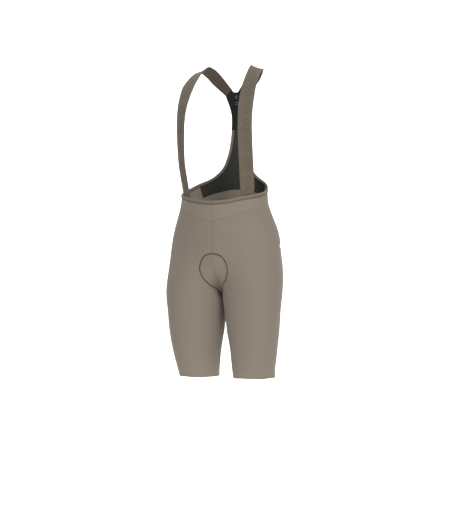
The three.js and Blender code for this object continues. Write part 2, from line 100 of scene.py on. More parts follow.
PAD_END_SHARE = 5 / 24
PAD_CHANNELS = [(1.2, 0.45, 0.05), (0.9, 0, 0.06)]
PAD_DOME = 0.8
PAD_DOME_REACH = 30
PRINT_RING = (3.6, -84)
PRINT_BARS = (5, (-100, -106))
THREAD_FLATNESS = 0.75
SIDES = (1, -1)


def table(names, *rows):
    return {name: np.array(column, float) for name, column in zip(names.split(), zip(*rows))}


TORSO = table(
    "z side front widest back",
    (-40, 138, -70, 0, 80), (-61, 140, -80, 0, 86), (-90, 140, -90, 0, 93), (-140, 141, -100, 0, 99),
    (-200, 141, -106, 0, 101), (-280, 138, -106, 1, 101), (-340, 132.5, -104, -1, 100),
    (-390, 133.5, -102, -5, 100), (-417, 136.5, -102, -5, 103), (-450, 147, -101, -1, 111),
    (-486, 160, -100, 4, 123), (-522, 168.3, -99, 4, 135), (-558, 171.5, -99, -2, 143),
    (-594, 174.2, -99, -2, 147), (-630, 176.8, -98, -2, 145), (-684, 178.4, -97, -3, 132),
)
LEG = table(
    "z inner across outer front mid back lean",
    (-500, 0.15, 88, 162, -100, 4, 132, 0), (-560, 0.15, 89, 172, -100, 2, 146, -0.02),
    (-620, 0.15, 90, 177, -99, 1, 143, -0.06), (-684, 0.15, 90.5, 178.8, -95, 1, 118, -0.12),
    (-738, 5.2, 90, 174.2, -89, 3, 98, -0.14), (-792, 10.8, 90.3, 169.8, -84, 6, 89, -0.14),
    (-828, 17.6, 90.9, 165.3, -80, 7, 85, -0.12), (-864, 22.4, 90.9, 160.8, -74, 7, 80, -0.07),
    (-900, 25, 89.7, 154.5, -65, 7, 75, 0), (-932, 27, 88.5, 150, -53, 11, 74, 0.07),
)
WAIST_SEAM = table(
    "turn z",
    (0, -468.2), (15, -457.6), (30, -446.8), (45, -438.3), (60, -431.4), (78, -422.5), (100, -415.5),
    (140, -412), (180, -414),
)
TOP_EDGE = table(
    "turn z",
    (0, -408), (18, -405), (37, -396.5), (54, -390), (72, -384), (90, -376), (107, -364), (123, -350),
    (139, -337), (150, -323), (160, -300), (165, -275), (168.3, -250), (170.2, -226), (171.6, -202),
    (172.3, BINDING_TOP_Z),
)
MESH_SEAM = table(
    "turn z",
    (MESH_CORNER_TURN, -392), (143, -383), (152, -377), (161, -372), (170, -368), (180, -366.5),
)
UPPER_BACK_EDGE = table("half z", (19, BINDING_TOP_Z), (18, -152), (20, -128), (27, -103), (34, -81))
NECK_CORNER = (12.5, -61)
NECK_LOW_Z = -70
STRAP = table(
    "neck_x neck_y neck_z arm_x arm_y arm_z bow",
    (82, -76.4, -412, 114, -50, -412, 2.2), (81.5, -76.4, -398, 113.5, -50.2, -398, 2.2),
    (81.5, -77.4, -384, 113.5, -50.8, -382, 2.2), (83, -86.5, -355, 116.5, -57.5, -354, 2),
    (86, -102, -295, 119.5, -73, -295, 1.8), (85.5, -109, -225, 120, -82.5, -226, 1.6),
    (84.5, -107, -171, 120, -84, -172, 1.4), (81.5, -94, -123, 121, -75, -124, 1),
    (78, -61, -73, 119.5, -50, -72, 0.3), (75.5, -29, -40, 115.5, -20, -43, -0.4),
    (73, 4, -13, 111, 16, -20, -1.2), (69.5, 35, 4.5, 106, 49, -9, -1.8),
    (59.5, 56, 0.5, 91.5, 73, -22, -1), (48, 68.5, -12, 77.5, 83, -40, 0),
    (34, 78.5, -31.5, 58, 88.5, -59, 0), (12.8, 85.5, -60.6, 34.2, 90, -80.6, 0),
)
PAD_FRONT = table(
    "along reach fall",
    (-564, 0.045, -564.5), (-571, 0.085, -568.5), (-583, 0.118, -578), (-598, 0.141, -593),
    (-614, 0.15, -610), (-630, 0.145, -627), (-645, 0.125, -645), (-659, 0.093, -660), (-670, 0.058, -671),
    (-679, 0.03, -682),
)
PAD_BACK = table(
    "along reach fall",
    (-679, 0.03, -690), (-672, 0.07, -688), (-662, 0.11, -677), (-649, 0.145, -661), (-633, 0.165, -641),
    (-616, 0.17, -620), (-599, 0.162, -600), (-583, 0.138, -582), (-571, 0.095, -570),
    (-565, 0.045, -565.5),
)

# Soft creases that the cloth keeps, each from one place round (t) and height (z) through a middle to an end.
# side is 1 for the wearer's left, -1 for the right and 0 for both.
CREASES = table(
    "side t0 z0 t1 z1 t2 z2 width depth",
    (1, 0.50, -536, 0.60, -543, 0.70, -556, 6, 4.0),
    (-1, 0.56, -530, 0.62, -535, 0.71, -552, 7, 1.8),
    (0, 0.10, -640, 0.20, -612, 0.33, -596, 15, 1.1),
    (0, 0.08, -668, 0.16, -668, 0.25, -655, 11, 0.9),
    (1, 0.72, -690, 0.82, -703, 0.95, -697, 11, 2.2),
    (-1, 0.73, -694, 0.83, -705, 0.95, -699, 12, 2.0),
    (0, 0.80, -735, 0.88, -738, 0.97, -728, 9, 1.0),
    (1, 0.66, -872, 0.78, -880, 0.90, -874, 9, 1.3),
    (-1, 0.64, -866, 0.77, -872, 0.92, -868, 9, 1.2),
    (0, 0.72, -902, 0.80, -906, 0.88, -903, 7, 0.8),
    (1, 0.62, -436, 0.74, -441, 0.90, -437, 8, 1.3),
    (-1, 0.60, -438, 0.72, -443, 0.88, -440, 8, 1.2),
    (0, 0.66, -468, 0.80, -474, 0.96, -470, 10, 1.0),
    (0, 0.30, -760, 0.24, -800, 0.20, -850, 22, 0.8),
    (0, 0.05, -720, 0.06, -760, 0.05, -800, 14, 0.8),
    (0, 0.00, -594, 0.00, -648, 0.00, -697, 20, 7.5),
)

# One stitch from end to end: how far along, how high and how thick, as shares of its length and radius.
STITCH = table(
    "step height size",
    (-0.5, -0.6, 0.55), (-0.3, 0.5, 0.95), (0, 1, 1), (0.3, 0.5, 0.95), (0.5, -0.6, 0.55),
)

# Curves, tables and the garment's outer surface on the wearer's left


def look_up(rows, by, value, key):
    """A smooth curve through one column of a table, read off by another column."""
    xs, ys = rows[by], rows[key]
    if xs[-1] < xs[0]:
        xs, ys = xs[::-1], ys[::-1]
    value = np.asarray(value, float)
    index = np.clip(np.searchsorted(xs, value, side="right") - 1, 0, len(xs) - 2)
    slope = np.empty(len(xs))
    slope[1:-1] = (ys[2:] - ys[:-2]) / (xs[2:] - xs[:-2])
    slope[0] = (ys[1] - ys[0]) / (xs[1] - xs[0])
    slope[-1] = (ys[-1] - ys[-2]) / (xs[-1] - xs[-2])
    span = xs[index + 1] - xs[index]
    s = np.clip((value - xs[index]) / span, 0, 1)
    low = (2 * s**3 - 3 * s**2 + 1) * ys[index] + (s**3 - 2 * s**2 + s) * slope[index] * span
    return low + (3 * s**2 - 2 * s**3) * ys[index + 1] + (s**3 - s**2) * slope[index + 1] * span


def section_at(rows, z):
    section = {key: look_up(rows, "z", z, key) for key in rows if key != "z"}
    if "inner" in section:
        section["inner"] = np.where(z < CROTCH_Z, np.maximum(section["inner"], HALF_GAP), HALF_GAP)
    return section


def along(rows, share):
    count = len(next(iter(rows.values())))
    numbered = dict(rows, index=np.arange(count, dtype=float))
    return {key: look_up(numbered, "index", np.asarray(share) * (count - 1), key) for key in rows}


def mix(a, b, share):
    return a + (b - a) * share


def smooth(share):
    share = np.clip(share, 0, 1)
    return share * share * (3 - 2 * share)


def signed_power(values, power):
    return np.sign(values) * np.abs(values) ** power


def unit(vectors):
    return vectors / np.maximum(np.linalg.norm(vectors, axis=-1, keepdims=True), 1e-12)


def torso_point(turn, z):
    turn, z = np.broadcast_arrays(np.asarray(turn, float), np.asarray(z, float))
    section = section_at(TORSO, z)
    angle = np.radians(turn)
    depth = np.where(turn < 90, section["widest"] - section["front"], section["back"] - section["widest"])
    return np.stack([section["side"] * np.sin(angle), section["widest"] - depth * np.cos(angle), z], -1)


def rise_share(z, top_z, power):
    share = np.clip((z - CROTCH_Z) / (top_z - CROTCH_Z), 0, 1)
    return (1 - (1 - share) ** power) ** (1 / power)


def inner_quarter(section, quarter, depth, rise):
    across = section["across"]
    half_width = across - section["inner"]
    x = across - half_width * np.cos(quarter)
    bridge = across - half_width * np.sqrt(np.maximum(1 - rise * rise, 0))
    shifted = np.where(rise > 0, np.hypot(x, bridge * (1 - x / across)), x)
    in_share = np.clip((across - shifted) / half_width, 0, 1)
    return x, section["mid"] + depth * np.sqrt(1 - in_share**2)


def leg_point(t, z):
    section = section_at(LEG, z)
    angle = 2 * np.pi * t
    mid, across, inner = section["mid"], section["across"], section["inner"]
    front = section["front"] - mid
    back = section["back"] - mid
    x = across - (section["outer"] - across) * np.cos(angle)
    y = mid + np.where(t < 0.5, front, back) * np.abs(np.sin(angle))
    front_rise = rise_share(z, RISE_FRONT_Z, FRONT_RISE_POWER)
    back_rise = rise_share(z, RISE_BACK_Z, BACK_RISE_POWER)
    front_x, front_y = inner_quarter(section, angle, front, front_rise)
    back_x, back_y = inner_quarter(section, 2 * np.pi - angle, back, back_rise)
    x = np.where(t < 0.25, front_x, np.where(t > 0.75, back_x, x))
    y = np.where(t < 0.25, np.minimum(front_y, mid - HALF_GAP), y)
    y = np.where(t > 0.75, np.maximum(back_y, mid + HALF_GAP), y)
    lean_share = np.where(x < across, (x - inner) / (across - inner), 1)
    return np.stack([x + section["lean"] * (y - mid) * lean_share, y, z], -1)


def turn_of(t):
    return 180 * t - COLUMN_SHIFT * np.sin(2 * np.pi * t)


def body_point(t, z):
    """The outer surface, t from the centre front (0) round the left side to the centre back (1)."""
    t, z = np.broadcast_arrays(np.asarray(t, float), np.asarray(z, float))
    share = smooth((z - CROTCH_Z) / (TORSO_FROM_Z - CROTCH_Z))[..., None]
    torso = torso_point(turn_of(t), z)
    torso[..., 0] = np.maximum(torso[..., 0], HALF_GAP)
    return mix(leg_point(t, z), torso, share)


def body_normal(t, z):
    t, z = np.broadcast_arrays(np.asarray(t, float), np.asarray(z, float))
    around = body_point(np.minimum(t + 0.002, 1), z) - body_point(np.maximum(t - 0.002, 0), z)
    up = body_point(t, z + 0.5) - body_point(t, z - 0.5)
    normal = unit(np.cross(around, up))
    seam = ((t == 0) | (t == 1)) & (z > CROTCH_Z)
    normal[..., 0] = np.where(seam, 0, normal[..., 0])
    return unit(normal)


def torso_steps(turn, z):
    """How far a point moves for one degree round and for one millimetre up."""
    around = torso_point(turn + 0.5, z) - torso_point(turn - 0.5, z)
    up = torso_point(turn, z + 0.5) - torso_point(turn, z - 0.5)
    return around, up


def torso_normal(turn, z):
    return unit(np.cross(*torso_steps(turn, z)))


def inset_from_edge(share, distance):
    """Turn and height of places that lie a distance in from the garment's top edge."""
    share, distance = np.broadcast_arrays(np.asarray(share, float), np.asarray(distance, float))
    here = along(TOP_EDGE, share)
    before = along(TOP_EDGE, np.maximum(share - 0.004, 0))
    after = along(TOP_EDGE, np.minimum(share + 0.004, 1))
    run = unit(torso_point(after["turn"], after["z"]) - torso_point(before["turn"], before["z"]))
    run = np.where((share == 0)[..., None], np.array([1.0, 0, 0]), run)
    inward = np.cross(run, torso_normal(here["turn"], here["z"])) * distance[..., None]
    per_turn, per_z = torso_steps(here["turn"], here["z"])
    aa, ab, ra = ((per_turn * other).sum(-1) for other in (per_turn, per_z, inward))
    bb, rb = ((per_z * other).sum(-1) for other in (per_z, inward))
    scale = aa * bb - ab * ab
    return here["turn"] + (ra * bb - rb * ab) / scale, here["z"] + (rb * aa - ra * ab) / scale


def find_rim_end():
    low, high = 0.0, 1.0
    for _ in range(30):
        middle = (low + high) / 2
        if inset_from_edge(middle, PANEL_INSET)[0] < MESH_SIDE_TOP_TURN:
            low = middle
        else:
            high = middle
    return low


RIM_END = find_rim_end()

# Relief of the cloth: soft creases, the sunk seams and the stitched outline of the pad


def nearest(points, curve):
    """Distance to the nearest spot of a curve, and how far along the curve that spot is."""
    flat = points.reshape(-1, 3)
    best = np.full(len(flat), 1e9)
    place = np.zeros(len(flat))
    for index, spot in enumerate(curve):
        distance = ((flat - spot) ** 2).sum(1)
        closer = distance < best
        best[closer] = distance[closer]
        place[closer] = index / (len(curve) - 1)
    shape = points.shape[:-1]
    return np.sqrt(best).reshape(shape), place.reshape(shape)


def crease_curve(index, steps=60):
    s = np.linspace(0, 1, steps)
    spots = [(CREASES[f"t{i}"][index], CREASES[f"z{i}"][index]) for i in range(3)]
    weights = [(1 - s) * (1 - 2 * s), 4 * s * (1 - s), s * (2 * s - 1)]
    t = sum(weight * spot[0] for weight, spot in zip(weights, spots))
    z = sum(weight * spot[1] for weight, spot in zip(weights, spots))
    return body_point(t, z)


def pad_outline(steps=110):
    """The pad's outline on the left leg panel, from the centre front, below the crotch, to the back."""
    share = np.linspace(0, 1, steps)
    front = along(PAD_FRONT, share)
    back = along(PAD_BACK, share)
    end = np.linspace(0, 1, 10)[:-1]
    crossing = mix(front["fall"][-1], back["fall"][0], 0.5)
    t = [front["reach"][0] * end, front["reach"], front["reach"][-1] * (1 - end[1:])]
    t += [1 - back["reach"][0] * end, 1 - back["reach"], 1 - back["reach"][-1] * (1 - end[1:])]
    z = [mix(front["fall"][0] + OUTLINE_NOTCH, front["fall"][0], smooth(end)), front["fall"]]
    z += [mix(front["fall"][-1], crossing, end[1:]), mix(crossing, back["fall"][0], end), back["fall"]]
    z += [np.full(len(end) - 1, back["fall"][-1])]
    return np.concatenate(t), np.concatenate(z)


def relief(points, side):
    height = np.zeros(points.shape[:-1])
    for index in range(len(CREASES["side"])):
        if CREASES["side"][index] not in (0, side):
            continue
        distance, place = nearest(points, crease_curve(index))
        reach = distance / CREASES["width"][index]
        fade = np.sin(np.pi * np.clip(place, 0, 1)) ** 0.8 * (1 + 0.25 * np.sin(9 * place + index))
        height -= CREASES["depth"][index] * fade * (1 - 0.9 * reach**2) * bell(reach, 1)
    wave = np.sin(points[..., 0] / 17 + side) * np.sin(points[..., 2] / 23 + points[..., 1] / 31)
    return height + 0.22 * wave


def bell(distance, width):
    """1 where there is no distance, and almost 0 past twice the width."""
    return np.exp(-((distance / width) ** 2))


def seam_dip(distance):
    return -SEAM_DEPTH * bell(distance, SEAM_REACH)


def seam_painted_shade(distance):
    """How much painted shade darkens the cloth at a distance from a sewn edge, along the sunk seam groove.
    """
    return SEAM_SHADE_STRENGTH * bell(distance, SEAM_SHADE_WIDTH)


def on_side(points, normals, side):
    """The same places on the wearer's left (1) or right (-1)."""
    points[..., 0] *= side
    normals[..., 0] *= side
    return points, normals


def clear_of_centre(*grids):
    """Keeps the points of a left panel on its own side of the centre plane."""
    for grid in grids:
        grid[..., 0] = np.maximum(grid[..., 0], HALF_GAP)


# Meshes


def make_object(name, points, faces, uvs=None, materials=(), face_materials=None):
    mesh = bpy.data.meshes.new(name)
    mesh.vertices.add(len(points))
    mesh.vertices.foreach_set("co", (np.asarray(points, np.float32) * MM).ravel())
    faces = np.asarray(faces, np.int32)
    size = faces.shape[1]
    mesh.loops.add(faces.size)
    mesh.loops.foreach_set("vertex_index", faces.ravel())
    mesh.polygons.add(len(faces))
    mesh.polygons.foreach_set("loop_start", np.arange(0, faces.size, size, dtype=np.int32))
    mesh.polygons.foreach_set("loop_total", np.full(len(faces), size, np.int32))
    mesh.polygons.foreach_set("use_smooth", np.ones(len(faces), bool))
    for material in materials:
        mesh.materials.append(material)
    if face_materials is not None:
        mesh.polygons.foreach_set("material_index", np.asarray(face_materials, np.int32))
    if uvs is not None:
        layer = mesh.uv_layers.new(name="UVMap")
        layer.data.foreach_set("uv", (np.asarray(uvs, np.float32)[faces.ravel()] * MM).ravel())
    mesh.update()
    mesh.validate()
    piece = bpy.data.objects.new(name, mesh)
    bpy.context.scene.collection.objects.link(piece)
    return piece


def lengths_along(points):
    """Distance from the start to each point of a line."""
    return np.concatenate([[0], np.cumsum(np.linalg.norm(np.diff(points, axis=0), axis=-1))])


def grid_lengths(grid):
    """Distance along each row and column of a grid of points, for weaves that follow the cloth."""
    across = np.zeros(grid.shape[:2])
    down = np.zeros(grid.shape[:2])
    across[:, 1:] = np.cumsum(np.linalg.norm(np.diff(grid, axis=1), axis=-1), axis=1)
    down[1:] = np.cumsum(np.linalg.norm(np.diff(grid, axis=0), axis=-1), axis=0)
    return np.stack([across - across[:, -1:] / 2, down], -1)


def shell(name, outer, inner, materials, sharp=50, seam=None):
    """A thin wall between two grids, rows running down and columns to the wearer's left."""
    rows, columns = outer.shape[:2]
    half = rows * columns
    number = np.arange(half).reshape(rows, columns)
    a, b, c, d = number[:-1, :-1], number[1:, :-1], number[1:, 1:], number[:-1, 1:]
    front = np.stack([a, b, c, d], -1).reshape(-1, 4)
    back = np.stack([a, d, c, b], -1).reshape(-1, 4) + half
    edges = [number[::-1, 0], number[:, -1], number[0], number[-1, ::-1]]
    rims = [np.stack([edge[:-1], edge[1:], edge[1:] + half, edge[:-1] + half], -1) for edge in edges]
    faces = np.concatenate([front, back, *rims])
    sides = np.zeros(len(faces), int)
    sides[len(front):len(front) + len(back)] = len(materials) - 1
    points = np.concatenate([outer.reshape(-1, 3), inner.reshape(-1, 3)])
    uv = grid_lengths(outer).reshape(-1, 2)
    piece = make_object(name, points, faces, np.concatenate([uv, uv]), materials, sides)
    piece.data.set_sharp_from_angle(angle=math.radians(sharp))
    # The seam attribute holds painted shade: darkening along the sunk seams and the shadow under the
    # binding.
    if seam is not None:
        shaded = piece.data.attributes.new("seam", "FLOAT", "POINT")
        shaded.data.foreach_set("value", np.tile(np.asarray(seam, np.float32).ravel(), 2))
    return piece


def side_shell(name, side, outer, inner, materials, seam=None):
    """A shell on the wearer's left (1), or its mirror on the right (-1)."""
    if side < 0:
        outer, inner = (grid[:, ::-1] * np.array([-1.0, 1, 1]) for grid in (outer, inner))
        seam = None if seam is None else seam[:, ::-1]
    return shell(name, outer, inner, materials, seam=seam)


def ring_tube(name, rings, materials, closed=False):
    """A tube through rings of points, capped at both ends unless it closes on itself."""
    count, sides = rings.shape[:2]
    number = np.arange(count * sides).reshape(count, sides)
    ahead = np.roll(number, -1, axis=0) if closed else number[1:]
    here = number if closed else number[:-1]
    faces = np.stack([here, np.roll(here, -1, axis=1), np.roll(ahead, -1, axis=1), ahead], -1).reshape(-1, 4)
    points = rings.reshape(-1, 3)
    around, down = lengths_along(rings[0]), lengths_along(rings.mean(1))
    uv = np.stack(np.broadcast_arrays(around[None], down[:, None]), -1).reshape(-1, 2)
    if not closed:
        caps = []
        points = np.concatenate([points, rings[:1].mean(1), rings[-1:].mean(1)])
        for i in range(0, sides, 2):
            j, k = (i + 1) % sides, (i + 2) % sides
            caps.append([len(points) - 2, number[0, k], number[0, j], number[0, i]])
            caps.append([len(points) - 1, number[-1, i], number[-1, j], number[-1, k]])
        faces = np.concatenate([faces, np.array(caps)])
        uv = np.concatenate([uv, uv[:1], uv[-1:]])
    return make_object(name, points, faces, uv, materials)


def even_path(points, normals, pitch):
    """Points and normals at an even spacing along a line."""
    lengths = lengths_along(points)
    count = max(int(lengths[-1] / pitch), 2)
    places = np.linspace(0, lengths[-1], count + 1)
    even, facing = (np.stack([np.interp(places, lengths, values) for values in line.T], -1)
                    for line in (points, normals))
    return even, unit(facing)


def oval_rings(points, normals, half_width, half_height, sides=6, loop=False):
    """Oval rings round the points of a line on cloth, wide along the cloth and low off it."""
    runs = np.roll(points, -1, 0) - np.roll(points, 1, 0) if loop else np.gradient(points, axis=0)
    side = unit(np.cross(normals, unit(runs)))[:, None]
    angle = (np.arange(sides) * 2 * np.pi / sides)[None, :, None]
    rings = half_width * np.cos(angle) * side + half_height * np.sin(angle) * normals[:, None]
    return points[:, None] + rings


def zigzag(points, normals, pitch, width, lift):
    """Points of a thread that crosses from side to side of a line on cloth."""
    even, facing = even_path(points, normals, pitch / 4)
    side = unit(np.cross(facing, unit(np.gradient(even, axis=0))))
    swing = np.resize([0, 1, 0, -1], len(even))[:, None]
    arch = lift * (1 + 0.5 * (swing == 0))
    return even + side * swing * width / 2 + facing * arch, facing


def stitch_rows(name, lines, pitch, length, radius, lift, material):
    """Short separate stitches along lines of points and normals."""
    all_points, all_faces, used = [], [], 0
    sides = 5
    angle = (np.arange(sides) * 2 * np.pi / sides)[:, None]
    for points, normals in lines:
        even, facing = even_path(points, normals, pitch)
        run = unit(np.gradient(even, axis=0))
        side = unit(np.cross(facing, run))
        middle = (even[:, None] + run[:, None] * (STITCH["step"] * length)[None, :, None]
                  + facing[:, None] * (lift + STITCH["height"] * radius)[None, :, None])
        ring = np.cos(angle) * side[:, None, None] + np.sin(angle) * facing[:, None, None]
        rings = middle[:, :, None] + radius * STITCH["size"][None, :, None, None] * ring
        number = used + np.arange(rings.size // 3).reshape(rings.shape[:3])
        here, ahead = number[:, :-1], number[:, 1:]
        quads = np.stack([here, np.roll(here, -1, 2), np.roll(ahead, -1, 2), ahead], -1)
        all_points.append(rings.reshape(-1, 3))
        all_faces.append(quads.reshape(-1, 4))
        used += number.size
    return make_object(name, np.concatenate(all_points), np.concatenate(all_faces), None, [material])


# Materials


class Nodes:
    def __init__(self, name):
        self.material = bpy.data.materials.new(name)
        self.material.use_nodes = True
        self.tree = self.material.node_tree
        self.shader = self.tree.nodes["Principled BSDF"]

    def add(self, kind, links=(), **values):
        node = self.tree.nodes.new(kind)
        for key, value in values.items():
            if hasattr(node, key):
                setattr(node, key, value)
            else:
                node.inputs[key.replace("_", " ")].default_value = value
        for socket, source in dict(links).items():
            self.tree.links.new(source, node.inputs[socket])
        return node

    def put(self, sockets, values):
        for socket, value in zip(sockets, values):
            if isinstance(value, (int, float)):
                socket.default_value = value
            elif isinstance(value, tuple):
                socket.default_value = (*value, 1)
            else:
                self.tree.links.new(value, socket)

    def math(self, operation, *values):
        node = self.add("ShaderNodeMath", operation=operation)
        self.put(node.inputs, values)
        return node.outputs[0]

    def mix(self, share, a, b):
        node = self.add("ShaderNodeMix", data_type="RGBA")
        self.put([node.inputs[0], node.inputs[6], node.inputs[7]], [share, a, b])
        return node.outputs[2]

    def finish(self, colour, height=None, strength=0.3, distance=0.0002, roughness=0.75, sheen=0.2,
               specular=0.3):
        self.tree.links.new(colour, self.shader.inputs["Base Color"])
        self.shader.inputs["Roughness"].default_value = roughness
        self.shader.inputs["Sheen Weight"].default_value = sheen
        self.shader.inputs["Sheen Roughness"].default_value = 0.5
        self.shader.inputs["Specular IOR Level"].default_value = specular
        if height is not None:
            bump = self.add("ShaderNodeBump", {"Height": height}, Strength=strength, Distance=distance)
            self.tree.links.new(bump.outputs[0], self.shader.inputs["Normal"])
        return self.material


def linear(red, green, blue):
    """Colour values from 0 to 255 as they show on screen, made linear."""
    return tuple(((v / 255 + 0.055) / 1.055) ** 2.4 for v in (red, green, blue))


def shade(colour, factor):
    return tuple(min(v * factor, 1) for v in colour)


def cloth_parts(nodes, wales, courses):
    """The mottled tone of a knit and the height of its fine wales and courses."""
    place = nodes.add("ShaderNodeTexCoord")
    broad = nodes.add("ShaderNodeTexNoise", {"Vector": place.outputs["Object"]}, Scale=14.0, Detail=3.0)
    fine = nodes.add("ShaderNodeTexNoise", {"Vector": place.outputs["Object"]}, Scale=900.0, Detail=2.0)
    apart = nodes.add("ShaderNodeSeparateXYZ", {"Vector": place.outputs["UV"]})
    across = nodes.math("SINE", nodes.math("MULTIPLY", apart.outputs["X"], 2 * math.pi / (wales * MM)))
    down = nodes.math("SINE", nodes.math("MULTIPLY", apart.outputs["Y"], 2 * math.pi / (courses * MM)))
    return apart, broad.outputs[0], fine.outputs[0], across, down


def knit_material(name, colour, wales=0.5, courses=0.4, roughness=0.75, sheen=0.12, strength=0.2):
    nodes = Nodes(name)
    _, broad, fine, across, down = cloth_parts(nodes, wales, courses)
    tone = nodes.mix(broad, shade(colour, 0.96), shade(colour, 1.04))
    speck = nodes.mix(nodes.math("MULTIPLY", fine, 0.5), tone, shade(colour, 0.72))
    # Painted shade: the seam attribute darkens the colour in the sunk seams and under the binding.
    sunk = nodes.add("ShaderNodeAttribute", attribute_name="seam")
    speck = nodes.mix(nodes.math("MULTIPLY", sunk.outputs["Fac"], 0.8), speck, shade(colour, 0.3))
    height = nodes.math("ADD", nodes.math("MULTIPLY", across, down), fine)
    return nodes.finish(speck, height, strength, 0.00012, roughness, sheen)


def mesh_material(name, colour, hole_shade):
    """An open knit: small holes in rows, painted near black as shade for the hollow seen through them, with
    a paler yarn between them.
    """
    nodes = Nodes(name)
    _, broad, fine, across, down = cloth_parts(nodes, 1.9, 2.2)
    cell = nodes.math("MULTIPLY", across, down)
    open_share = nodes.math("SMOOTH_MAX", nodes.math("SUBTRACT", cell, 0.25), 0.0, 0.2)
    tone = nodes.mix(broad, shade(colour, 0.9), shade(colour, 1.12))
    yarn = nodes.mix(fine, tone, shade(colour, 1.35))
    speck = nodes.mix(open_share, yarn, hole_shade)
    height = nodes.math("SUBTRACT", fine, open_share)
    return nodes.finish(speck, height, 0.45, 0.0003, roughness=0.85, sheen=0.04, specular=0.2)


def elastic_material(name, colour, motif=False):
    """Ribbed elastic: fine cross ribs, a denser selvedge at both edges, and a tonal woven motif."""
    nodes = Nodes(name)
    apart, broad, fine, across, down = cloth_parts(nodes, 1.0, 1.5)
    tone = nodes.mix(broad, shade(colour, 0.94), shade(colour, 1.06))
    speck = nodes.mix(nodes.math("MULTIPLY", fine, 0.45), tone, shade(colour, 0.7))
    ribs = nodes.mix(nodes.math("MULTIPLY_ADD", down, 0.1, 0.1), speck, shade(colour, 0.72))
    edge = nodes.math("GREATER_THAN", nodes.math("ABSOLUTE", apart.outputs["X"]), SELVEDGE_FROM)
    woven = nodes.mix(nodes.math("MULTIPLY", edge, 0.25), ribs, shade(colour, 0.8))
    height = nodes.math("ADD", nodes.math("MULTIPLY", down, 0.6), nodes.math("MULTIPLY", across, 0.15))
    if motif:
        mark = motif_mark(nodes, apart)
        woven = nodes.mix(nodes.math("MULTIPLY", mark, 0.42), woven, shade(colour, 0.5))
        height = nodes.math("SUBTRACT", height, nodes.math("MULTIPLY", mark, 0.5))
    return nodes.finish(woven, height, 0.15, roughness=0.8, sheen=0.1)


def motif_mark(nodes, apart):
    """Plain geometric motif in a column: a diamond outline and a pair of chevrons, over and over."""
    x = nodes.math("ABSOLUTE", nodes.math("SUBTRACT", apart.outputs["X"], MOTIF_OFFSET))
    y = nodes.math("SUBTRACT", nodes.math("MODULO", apart.outputs["Y"], MOTIF_REPEAT), MOTIF_REPEAT / 2)
    inside = nodes.math("LESS_THAN", x, MOTIF_HALF)

    def line(distance):
        return nodes.math("LESS_THAN", nodes.math("ABSOLUTE", distance), MOTIF_LINE)

    lean = nodes.math("MULTIPLY", nodes.math("ABSOLUTE", nodes.math("ADD", y, MOTIF_REPEAT / 4)), 0.75)
    diamond = line(nodes.math("SUBTRACT", nodes.math("ADD", x, lean), 0.0085))
    slope = nodes.math("ADD", y, nodes.math("MULTIPLY", x, 0.6))
    first = line(nodes.math("SUBTRACT", slope, MOTIF_REPEAT * 0.16))
    second = line(nodes.math("SUBTRACT", slope, MOTIF_REPEAT * 0.31))
    marks = nodes.math("MAXIMUM", diamond, nodes.math("MAXIMUM", first, second))
    return nodes.math("MULTIPLY", marks, inside)


def plain_material(name, colour, contrast=0.08):
    """Thread or print: one tone with a fine uneven twist."""
    nodes = Nodes(name)
    place = nodes.add("ShaderNodeTexCoord")
    fine = nodes.add("ShaderNodeTexNoise", {"Vector": place.outputs["Object"]}, Scale=1200.0, Detail=2.0)
    tone = nodes.mix(fine.outputs[0], shade(colour, 1 - contrast), shade(colour, 1 + contrast))
    return nodes.finish(tone, fine.outputs[0], distance=0.0001, roughness=0.7, sheen=0.1)


TAUPE = linear(137, 126, 113)
shorts_cloth = knit_material("shorts_knit", TAUPE)
# Waist panels: the same knit a little lighter, painted light on the upper front.
waist_cloth_painted_light = knit_material("waist_knit_painted_light", shade(TAUPE, 1.04))
# Inner face: the same knit made lighter, painted light for light passing through the cloth.
inside_cloth_painted_light = knit_material("inside_knit_painted_light", shade(TAUPE, 1.2), 0.7, 0.5, sheen=0.05)
binding_cloth = elastic_material("binding_tape", linear(128, 118, 104))
strap_cloth = elastic_material("strap_elastic", linear(107, 97, 83), motif=True)
# Strap backs: partly the elastic's own darker back, partly painted shade on the face turned from the light.
strap_back_tone_and_shade = elastic_material("strap_inside", linear(85, 76, 65))
# The mesh holes are painted near black as shade for the hollow behind them.
back_mesh = mesh_material("back_mesh", linear(54, 55, 52), linear(18, 19, 18))
black_cloth = knit_material("black_knit", linear(28, 28, 27), 0.8, 0.6, strength=0.15, sheen=0.03)
pad_cloth = knit_material("pad_cloth", linear(62, 60, 57), 0.9, 0.9, roughness=0.9, sheen=0.2)
seam_thread = plain_material("seam_thread", linear(112, 103, 91))
pad_thread = plain_material("pad_thread", linear(70, 61, 52))
dark_thread = plain_material("dark_thread", linear(40, 39, 37))
grey_print = plain_material("grey_print", linear(112, 114, 114), 0.03)

# Legs

EDGE_STEPS = np.array([0, 0.35, 0.8, 1.3, 2.0, 3.2])


def leg_columns():
    edge = EDGE_STEPS / THIGH_GIRTH
    return np.concatenate([edge, np.linspace(0.009, 0.991, 170), 1 - edge[::-1]])


def leg_rows(t):
    """Height of every row for each column, closer together at the seam, the crotch and the hem."""
    seam = look_up(WAIST_SEAM, "turn", turn_of(t), "z") - HALF_GAP
    rows = [seam - step for step in EDGE_STEPS]
    rows += [mix(seam - EDGE_BAND, UPPER_ROWS_FROM_Z, share) for share in np.linspace(0, 1, 10)]
    upper = CROTCH_Z + (UPPER_ROWS_FROM_Z - CROTCH_Z) * np.linspace(1, 0, 75)[1:] ** 1.8
    lower = CROTCH_Z + (HEM_Z - CROTCH_Z) * np.linspace(0, 1, 80)[1:] ** 1.25
    lower = lower[lower > HEM_Z + HEM_BAND]
    hem = HEM_Z + EDGE_STEPS[::-1]
    rows += [np.full_like(t, z) for z in np.concatenate([upper, lower, hem])]
    return np.array(rows)


